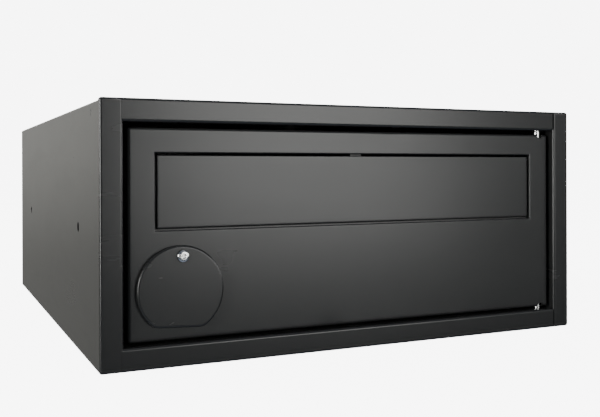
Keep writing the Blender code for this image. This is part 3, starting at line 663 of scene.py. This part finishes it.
def makeDoor():
    d = door
    edge = d["bend"] + d["flatFrom"]
    xs = spread(-d["half"], d["half"], d["cell"], -d["half"] + edge, d["half"] - edge,
                -d["slotHalf"], d["slotHalf"], -d["slotHalf"] - edge, d["slotHalf"] + edge)
    zs = spread(d["low"], d["high"], d["cell"], d["low"] + edge, d["high"] - edge,
                d["slotLow"], d["slotHigh"], d["slotLow"] - edge, d["slotHigh"] + edge)
    bm = panelGrid(xs, zs, d["face"], (-d["slotHalf"], d["slotHalf"], d["slotLow"], d["slotHigh"]))

    def onOutside(co):
        return (abs(abs(co.x) - d["half"]) < 1e-6 or abs(co.z - d["low"]) < 1e-6
                or abs(co.z - d["high"]) < 1e-6)

    outer = openEdges(bm, onOutside)
    inner = openEdges(bm, lambda co: not onOutside(co))
    weigh(bm, outer)
    weigh(bm, inner, d["rimShare"])
    pull(bm, inner, lambda _: (0, d["rim"], 0))
    pull(bm, outer, lambda _: (0, d["flange"], 0))
    corners = [e for e in bm.edges
               if not e.is_boundary and abs(abs(e.verts[0].co.x) - d["half"]) < 1e-6
               and (abs(e.verts[0].co.z - d["low"]) < 1e-6 or abs(e.verts[0].co.z - d["high"]) < 1e-6)
               and abs(e.verts[0].co.y - e.verts[1].co.y) > d["flange"] / 2]
    weigh(bm, corners)
    outwards(bm, (0, -1, 0))
    panel = meshObject("doorPanel", bm)
    fold(panel, d["bend"], sheetMetal["bendSteps"])
    bpy.context.view_layer.update()
    applied(panel)
    dent(panel, d["marks"], d["waves"], (0, (d["low"] + d["high"]) / 2),
         (d["half"], (d["high"] - d["low"]) / 2))
    x, z, radius = d["lockHole"]
    cutters = [roundCutter((x, d["face"], z), radius, 0.01, "Y")]
    x, z, radius = d["pivotHole"]
    cutters.append(roundCutter((x, d["face"], z), radius, 0.01, "Y"))
    for z in (d["low"], d["high"]):
        cutters.append(roundCutter((frontFrame["pinX"], frontFrame["pinY"], z), d["bushHole"], 0.01, "Z"))
        cutters.append(roundCutter((frontFrame["pinX"], d["face"], z), d["pinNotch"], 0.008, "Y"))
    cutBy(panel, *cutters)
    settle(panel, "doorCoat", "door", "door_coat", "door_panel")


makeDoor()
print("door ready")


# flap

flap = {
    "half": 200 * mm,
    "low": 119 * mm,
    "high": 182 * mm,
    "face": -293.3 * mm,
    "step": 2.6 * mm,
    "flange": 9 * mm,
    "edgeRound": 0.9 * mm,
    "edgeSteps": 4,
    "edgeMargin": 2.4 * mm,
    "cell": 7 * mm,
    "slopeFrom": 2.5,            # flange widths below the top where the ends slope down
    "slope": 0.8,
    "waves": [
        {"across": 0.090, "up": 0.030, "start": 1.1, "deep": 0.09 * mm},
        {"across": 0.036, "up": 0.024, "start": 0.2, "deep": 0.03 * mm},
    ],
}


def makeFlap():
    f = flap
    edge = f["edgeMargin"]
    xs = spread(-f["half"], f["half"], f["cell"], -f["half"] + edge, f["half"] - edge)
    zs = spread(f["low"], f["high"], f["cell"], f["low"] + edge, f["high"] - edge)
    bm = panelGrid(xs, zs, f["face"])
    free = openEdges(bm, lambda co: True)
    weigh(bm, free)
    step = pull(bm, free, lambda _: (0, f["step"], 0))
    step = [e for e in step if not all(abs(v.co.z - f["high"]) < 1e-6 for v in e.verts)]
    weigh(bm, step)

    slopeStart = f["high"] - f["slopeFrom"] * f["flange"]

    def widen(co):
        across = 0.0
        if abs(abs(co.x) - f["half"]) < 1e-6:
            across = f["flange"] if co.x > 0 else -f["flange"]
        down = 0.0
        if abs(co.z - f["low"]) < 1e-6:
            down = -f["flange"]
        elif abs(co.z - f["high"]) < 1e-6:
            down = -2 * f["flange"]
        elif across and co.z > slopeStart:
            down = (slopeStart - co.z) * f["slope"]
        return (across, 0, down)

    pull(bm, step, widen)
    outwards(bm, (0, -1, 0))
    panel = meshObject("flapPanel", bm)
    fold(panel, f["edgeRound"], f["edgeSteps"])
    bpy.context.view_layer.update()
    applied(panel)
    middle = (f["low"] + f["high"]) / 2
    dent(panel, [], f["waves"], (0, middle), (f["half"], (f["high"] - f["low"]) / 2))
    settle(panel, "flapCoat", "flap", "flap_coat", "flap_panel")


makeFlap()
print("flap ready")


# lock cover and its screw

cover = {
    "radius": 38.6 * mm,
    "drop": 29.3 * mm,           # disc's centre below the pivot
    "flat": 32.2 * mm,           # flat edge below the disc's centre
    "corner": 11 * mm,
    "tilt": radians(2.5),
    "deep": 4.4 * mm,
    "bend": 2.2 * mm,
    "bendSteps": 6,
    "hole": 3.4 * mm,
    "pivot": (-179 * mm, -300 * mm, 95.2 * mm),
}


def makeCover():
    c = cover
    x = sqrt((c["radius"] - c["corner"]) ** 2 - (c["flat"] - c["corner"]) ** 2)
    z = c["corner"] - c["flat"]
    turn = degrees(atan2(x, -z))
    outline = [
        *arc((0, 0), c["radius"], turn - 90, 270 - turn, 112),
        *list(arc((-x, z), c["corner"], 270 - turn, 270, 8))[1:],
        *list(arc((x, z), c["corner"], -90, turn - 90, 8))[:-1],
    ]
    bm = newMesh()
    bm.faces.new([bm.verts.new((x, 0, z - c["drop"])) for x, z in outline])
    edges = bm.edges[:]
    weigh(bm, edges)
    pull(bm, edges, lambda _: (0, c["deep"], 0))
    place = Matrix.Translation(c["pivot"]) @ Matrix.Rotation(c["tilt"], 4, "Y")
    bmesh.ops.transform(bm, matrix=place, verts=bm.verts)
    outwards(bm, (0, -1, 0))
    disc = meshObject("lockCover", bm)
    fold(disc, c["bend"], c["bendSteps"])
    bpy.context.view_layer.update()
    applied(disc)
    cutBy(disc, roundCutter(c["pivot"], c["hole"], 0.02, "Y"))
    settle(disc, "coverCoat", "lock_cover", "cover_coat", "lock_cover")


screw = {
    "headRadius": 5.45 * mm,
    "under": -300.3 * mm,
    "top": -303.1 * mm,
    "rim": 0.5 * mm,
    "shank": 3.0 * mm,
    "end": -286.4 * mm,
    "socket": 2.3 * mm,
    "socketDeep": 1.8 * mm,
    "mouth": 0.35 * mm,          # how far the socket's mouth is opened
    "flat": 3.1 * mm,
    "domeSteps": 10,
    "edge": 0.1 * mm,
    "threadFrom": 3.2 * mm,      # below the head
    "threadDeep": 0.16 * mm,
    "pitch": 1.0 * mm,
    "threadEnds": 1.4 * mm,      # above the tip
    "tip": 0.4 * mm,
}


def makePivotScrew():
    s = screw
    head = s["under"] - s["top"]
    flat = s["flat"]
    profile = [(0, 0), (flat, 0)]
    for n in range(1, s["domeSteps"] + 1):
        a = radians(90 * n / s["domeSteps"])
        profile.append((flat + (s["headRadius"] - flat) * sin(a), (head - s["rim"]) * (1 - cos(a))))
    profile.append((s["headRadius"], head - s["edge"]))
    profile.append((s["headRadius"] - s["edge"], head))
    profile.append((s["shank"], head))
    length = s["end"] - s["top"]
    depth, pitch = s["threadDeep"], s["pitch"]
    place = head + s["threadFrom"]
    while place < length - s["threadEnds"]:
        profile += [(s["shank"], place), (s["shank"] - depth, place + 0.35 * pitch),
                    (s["shank"] - depth, place + 0.5 * pitch), (s["shank"], place + 0.85 * pitch)]
        place += pitch
    profile += [(s["shank"], length - s["tip"]), (s["shank"] - s["tip"], length), (0, length)]
    x, _, z = cover["pivot"]
    made = turned("pivotScrew", profile, (x, s["top"], z), "Y")
    hexagon = bmesh.new()
    bmesh.ops.create_cone(hexagon, cap_ends=True, segments=6, radius1=s["socket"], radius2=s["socket"],
                          depth=2 * s["socketDeep"],
                          matrix=Matrix.Translation((x, s["top"], z)) @ axisTurn["Y"])
    mouth = bmesh.new()
    bmesh.ops.create_cone(mouth, cap_ends=True, segments=48, radius1=s["socket"] + s["mouth"],
                          radius2=s["socket"] - s["mouth"], depth=2 * s["mouth"],
                          matrix=Matrix.Translation((x, s["top"], z)) @ axisTurn["Y"])
    cutBy(made, meshObject("cutter", hexagon), meshObject("cutter", mouth))
    settle(made, "bright", "door", "bright_steel", "cover_screw")


makeCover()
makePivotScrew()
print("lock cover ready")


# hinge pins

pins = {
    "place": (216 * mm, -289 * mm, 0),
    # (radius, height) in mm, from one end to the other
    "upperHingePin": [(0, 217.3), (3.2, 217.3), (3.7, 217.1), (3.95, 216.7), (4, 216.2), (4, 215.1),
                      (2.5, 215.1), (2.5, 195.0), (2.4, 194.5), (2.1, 194.1), (1.8, 194), (0, 194)],
    "lowerHingePin": [(0, 34), (1.8, 34), (2.2, 33.8), (2.45, 33.5), (2.5, 33.1), (2.5, 22.0),
                      (3.2, 22.0), (3.35, 21.9), (3.4, 21.7), (3.4, 20.3), (2.5, 20.3), (2.5, 14.9),
                      (4, 14.9), (4, 13.4), (3.8, 12.9), (3.4, 12.7), (0, 12.7)],
}


def makePin(name, node):
    points = [(radius * mm, height * mm) for radius, height in pins[name]]
    made = turned(name, points, pins["place"], "Z")
    settle(made, "bright", "casing", "bright_steel", node)


makePin("upperHingePin", "upper_hinge_pin")
makePin("lowerHingePin", "lower_hinge_pin")
print("hinge pins ready")


# torsion springs

spring = {
    "wire": 0.5 * mm,
    "coil": 3.4 * mm,
    "turns": 5,
    "perTurn": 28,
    "pitch": 1.4 * mm,
    "rod": (-286 * mm, 178 * mm),
    "from": 190 * mm,            # outer end of the coil from the middle of the box
    # legs, as (depth, height) in mm from the rod
    "doorLeg": [(-4.8, 16), (-1.6, 8.6), (0, 6.2), (2.2, 3.6)],
    "flapLeg": [(-4.3, -6), (-4.6, -18)],
    "step": 0.4 * mm,            # sideways, from the coil to the flap's leg
}


def makeSpring(name, side, node):
    s = spring
    y, z = s["rod"]
    start = side * s["from"]
    route = [Vector((start, depth * mm, height * mm)) for depth, height in s["doorLeg"]]
    count = s["turns"] * s["perTurn"] + s["perTurn"] // 4
    for step in range(count + 1):
        angle = pi + 2 * pi * step / s["perTurn"]
        x = start - side * s["pitch"] * step / s["perTurn"]
        route.append(Vector((x, -s["coil"] * cos(angle), s["coil"] * sin(angle))))
    end = route[-1].x - side * s["step"]
    route += [Vector((end, depth * mm, height * mm)) for depth, height in s["flapLeg"]]
    curve = bpy.data.curves.new(name, "CURVE")
    curve.dimensions = "3D"
    curve.bevel_depth = s["wire"]
    curve.bevel_resolution = 3
    curve.use_fill_caps = True
    spline = curve.splines.new("POLY")
    spline.points.add(len(route) - 1)
    for point, place in zip(spline.points, route):
        point.co = (*(place + Vector((0, y, z))), 1)
    wire = bpy.data.objects.new(name, curve)
    scene.collection.objects.link(wire)
    bpy.context.view_layer.update()
    mesh = bpy.data.meshes.new_from_object(wire.evaluated_get(bpy.context.evaluated_depsgraph_get()))
    bpy.data.objects.remove(wire)
    made = bpy.data.objects.new(name, mesh)
    scene.collection.objects.link(made)
    mesh.shade_smooth()
    mesh.materials.clear()
    mesh.materials.append(finishes["spring"])
    inner = start - side * s["pitch"] * (s["turns"] + 0.25)
    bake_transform(made, "door", "flap", start=(start, y, z), end=(inner, y, z))
    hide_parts(node)


makeSpring("flapSpringLeft", -1, "flap_spring_left")
makeSpring("flapSpringRight", 1, "flap_spring_right")
print("springs ready")


# finishes on the parts that keep their own shape

kept = {
    "base_tray": "casingCoat", "back_panel": "casingCoat", "keeper_angle": "bracketCoat",
    "door_buffer_lower": "rubber", "door_buffer_upper": "rubber",
    "upper_pin_plate": "zinc", "lower_pin_plate": "zinc",
    "hinge_stiffener": "bracketCoat", "upper_hinge_bush": "bright", "lower_hinge_bush": "bright",
    "rod_bracket_left": "bracketCoat", "rod_bracket_right": "bracketCoat",
    "rod_bracket_centre": "bracketCoat", "flap_rod": "zinc",
    "rod_clip_left": "zinc", "rod_clip_right": "zinc", "bracket_nut": "zinc",
    "lock_bracket": "zinc", "lock_bracket_nut_left": "zinc", "lock_bracket_nut_right": "zinc",
    "cover_spacer": "nylon", "cover_nut": "zinc", "lock_body": "nickel",
    "lock_plug": "nickel", "lock_cam": "zinc", "cam_screw": "zinc",
    "flap_ear_outer_left": "bracketCoat", "flap_ear_inner_left": "bracketCoat",
    "flap_ear_inner_right": "bracketCoat", "flap_ear_outer_right": "bracketCoat",
    "flap_buffer_left": "rubber", "flap_buffer_right": "rubber",
}


def dressKept():
    for name, finish in kept.items():
        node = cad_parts[name]
        node.data.materials.clear()
        node.data.materials.append(finishes[finish])


dressKept()
print("kept parts dressed:", len(kept))


# room, light and camera

room = {
    "reach": 30.0,
    "wallAt": 12.0,
    "bend": 4.0,
    "height": 16.0,
    "bendSteps": 16,
    "tone": (0.80, 0.80, 0.80, 1),
    "paleTone": (0.83, 0.83, 0.83, 1),
    "cloud": 0.6,
    "below": 0.5 * mm,           # keeps the floor clear of the base
    "glow": 9.0,
}


def makeRoom():
    bm = bmesh.new()
    profile = [(-room["reach"], 0.0), (room["wallAt"] - room["bend"], 0.0)]
    for n in range(1, room["bendSteps"] + 1):
        a = radians(90 * n / room["bendSteps"])
        profile.append((room["wallAt"] - room["bend"] + room["bend"] * sin(a), room["bend"] * (1 - cos(a))))
    profile.append((room["wallAt"], room["height"]))
    lines = [[bm.verts.new((x, y, z)) for y, z in profile] for x in (-room["reach"], room["reach"])]
    for n in range(len(profile) - 1):
        bm.faces.new([lines[0][n], lines[1][n], lines[1][n + 1], lines[0][n + 1]])
    bmesh.ops.recalc_face_normals(bm, faces=bm.faces)
    sweep = meshObject("paleFloor", bm)
    sweep.data.shade_smooth()
    recipe = Recipe("paleFloorPaint", Roughness=0.9)
    cloud = recipe.noise(recipe.place(), room["cloud"], 2.0)
    tone = recipe.mix(cloud, room["tone"], room["paleTone"])
    recipe.surface.inputs["Emission Strength"].default_value = room["glow"]
    sweep.data.materials.append(recipe.finish(Base_Color=tone, Emission_Color=tone))
    sweep.location.z = -room["below"]
    sweep.visible_diffuse = False
    sweep.visible_glossy = False
    sweep.visible_shadow = False


def areaLight(name, place, aim, size, power, colour):
    lamp = bpy.data.lights.new(name, "AREA")
    lamp.shape = "RECTANGLE"
    lamp.size, lamp.size_y = size
    lamp.energy = power
    lamp.color = colour
    made = bpy.data.objects.new(name, lamp)
    made.location = place
    made.rotation_euler = (Vector(aim) - Vector(place)).to_track_quat("-Z", "Y").to_euler()
    scene.collection.objects.link(made)


lights = [
    {"name": "frontSoftbox", "place": (1.18, -3.03, 0.56), "aim": (0, -0.3, 0.12),
     "size": (1.35, 1.5), "power": 33, "colour": (1.0, 1.0, 0.975)},
    {"name": "leftSoftbox", "place": (-2.90, 1.00, 1.10), "aim": (-0.2, 0, 0.15),
     "size": (2.4, 1.8), "power": 66, "colour": (1.0, 0.99, 0.96)},
    {"name": "leftStrip", "place": (-2.75, -1.35, 0.40), "aim": (-0.2, -0.3, 0.12),
     "size": (0.8, 1.3), "power": 60, "colour": (1.0, 1.0, 0.98)},
    {"name": "rightStrip", "place": (2.80, -1.30, 0.70), "aim": (-0.2, -0.3, 0.10),
     "size": (0.7, 1.2), "power": 22, "colour": (1.0, 1.0, 0.99)},
    {"name": "overheadSoftbox", "place": (0.2, 0.2, 2.4), "aim": (0, 0, 0.1),
     "size": (2.2, 2.2), "power": 8, "colour": (1.0, 1.0, 1.0)},
]

# grey level of the room by height (-1 is straight down, 1 straight up), before and behind the box
sky = {
    "front": [(-1.0, 0.30), (-0.45, 0.10), (-0.14, 0.012), (0.02, 0.03), (0.35, 0.06), (1.0, 0.14)],
    "rear": [(-1.0, 0.30), (-0.30, 0.20), (-0.10, 0.26), (0.02, 0.60), (0.20, 0.76), (1.0, 0.14)],
    "tint": {"front": (0.85, 1.0, 1.30), "rear": (1.02, 1.01, 0.95)},
    "turnsAt": (-0.1, 0.6),      # the front grades into the rear between these depths
    "shown": (9.0, 9.0, 9.0, 1),
}


def makeSky():
    world = bpy.data.worlds.new("studioSky")
    scene.world = world
    wiring = Wiring(world)
    where = wiring.node("ShaderNodeTexCoord", output="Generated")
    up = wiring.node("ShaderNodeSeparateXYZ", None, {0: where}, "Z")
    back = wiring.node("ShaderNodeSeparateXYZ", None, {0: where}, "Y")
    height = wiring.node("ShaderNodeMapRange", None, {"Value": up, "From Min": -1, "From Max": 1})
    begins, ends = sky["turnsAt"]
    depth = wiring.node("ShaderNodeMapRange", {"interpolation_type": "SMOOTHSTEP"},
                        {"Value": back, "From Min": begins, "From Max": ends})
    halves = []
    for side in ("front", "rear"):
        stops = [((level + 1) / 2, [grey * c for c in sky["tint"][side]] + [1]) for level, grey in sky[side]]
        halves.append(wiring.node("ShaderNodeValToRGB", {"stops": stops}, {0: height}))
    colour = wiring.mix(depth, halves[0], halves[1])
    lighting = wiring.node("ShaderNodeBackground", None, {"Color": colour})
    shown = wiring.node("ShaderNodeBackground", None, {"Color": sky["shown"]})
    seen = wiring.node("ShaderNodeLightPath", output="Is Camera Ray")
    choice = wiring.node("ShaderNodeMixShader", None, {0: seen, 1: lighting, 2: shown})
    wiring.node("ShaderNodeOutputWorld", None, {"Surface": choice}, output=None)


camera = {
    "place": (-0.3804, -0.9790, 0.1692),
    "turn": -24.7,
    "roll": -0.003,
    "lens": 48.96,
    "shiftY": -0.0648,
}


def makeCamera():
    lens = bpy.data.cameras.new("camera")
    lens.sensor_width = 36
    lens.lens = camera["lens"]
    lens.shift_y = camera["shiftY"]
    lens.clip_start, lens.clip_end = 0.02, 200
    made = bpy.data.objects.new("camera", lens)
    upright = Matrix.Rotation(radians(camera["turn"]), 4, "Z") @ Matrix.Rotation(pi / 2, 4, "X")
    made.matrix_world = (Matrix.Translation(camera["place"]) @ upright
                         @ Matrix.Rotation(camera["roll"], 4, "Z"))
    scene.collection.objects.link(made)
    scene.camera = made


makeRoom()
for light in lights:
    areaLight(light["name"], light["place"], light["aim"], light["size"], light["power"], light["colour"])
makeSky()
makeCamera()
print("room, light and camera ready")
